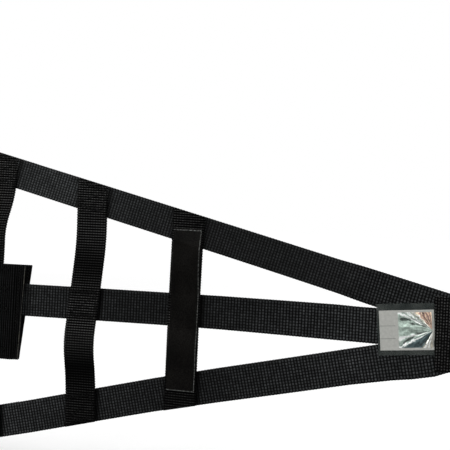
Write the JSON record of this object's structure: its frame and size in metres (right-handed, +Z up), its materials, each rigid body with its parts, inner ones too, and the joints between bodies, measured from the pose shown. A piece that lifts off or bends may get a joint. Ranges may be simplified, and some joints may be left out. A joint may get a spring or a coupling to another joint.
{
  "type": "racing seat side restraint net",
  "caption": "Black webbing net for the side of a race seat: fanned straps and uprights, rear belt for a cage tube, bolt-in brackets and a quick-release buckle.",
  "frame": {"origin": "on the axis of the tube that the rear belt holds, at half the belt's width", "axes": "+X forward along the net, +Y inward from the net's outer face, +Z up along the tube"},
  "size_m": [0.8188, 0.048, 0.2676],
  "materials": {
    "strap_webbing": "black woven nylon",
    "belt_webbing": "black woven nylon, coarse rib",
    "front_webbing": "black woven nylon, coarse rib",
    "label_satin": "black satin, blank",
    "clear_film": "clear film",
    "tag_foil": "crinkled silver foil, blank",
    "slide_steel": "zinc plated",
    "plate_steel": "zinc plated",
    "tongue_steel": "nickel plated",
    "case_plastic": "black moulded",
    "button_plastic": "red moulded, blank"
  },
  "bodies": {
    "net": {"rear_belt": "belt_webbing", "belt_tail": "belt_webbing", "belt_slide": "slide_steel", "top_strap": "strap_webbing", "middle_strap": "strap_webbing", "bottom_strap": "strap_webbing", "top_loop": "strap_webbing", "bottom_loop": "strap_webbing", "rear_upright": "strap_webbing", "centre_upright": "strap_webbing", "front_upright": "strap_webbing", "upright_label": "label_satin", "tag_film": "clear_film", "foil_tag": "tag_foil", "front_strap": "front_webbing"},
    "top_bracket": {"top_anchor": "plate_steel"},
    "bottom_bracket": {"bottom_anchor": "plate_steel"},
    "tongue": {"tongue": "tongue_steel"},
    "buckle": {"buckle_case": "case_plastic", "buckle_button": "button_plastic", "buckle_frame": "plate_steel"},
    "sling": {"anchor_sling": "front_webbing"},
    "front_bracket": {"front_anchor": "plate_steel"}
  },
  "joints": [
    {"name": "top_bracket_swing", "type": "hinge", "parent": "net", "child": "top_bracket", "pos_m": [0.07639, 0.0018, 0.1239], "axis": [0.2487, 0, 0.9686], "range_deg": [-35, 35]},
    {"name": "bottom_bracket_swing", "type": "hinge", "parent": "net", "child": "bottom_bracket", "pos_m": [0.07534, 0.0018, -0.1002], "axis": [-0.2385, 0, 0.9711], "range_deg": [-35, 35]},
    {"name": "tongue_swing", "type": "hinge", "parent": "net", "child": "tongue", "pos_m": [0.542, 0.0018, 0.007], "axis": [0, 0, 1], "range_deg": [-30, 30]},
    {"name": "buckle_release", "type": "slide", "parent": "tongue", "child": "buckle", "axis": [1, 0, 0], "range_m": [0, 0.045]},
    {"name": "sling_swing", "type": "hinge", "parent": "buckle", "child": "sling", "pos_m": [0.6638, 0.0018, 0.007], "axis": [0, 0, 1], "range_deg": [-35, 35]},
    {"name": "front_bracket_swing", "type": "hinge", "parent": "sling", "child": "front_bracket", "pos_m": [0.7378, 0.0018, 0.007], "axis": [0, 0, 1], "range_deg": [-35, 35]}
  ]
}
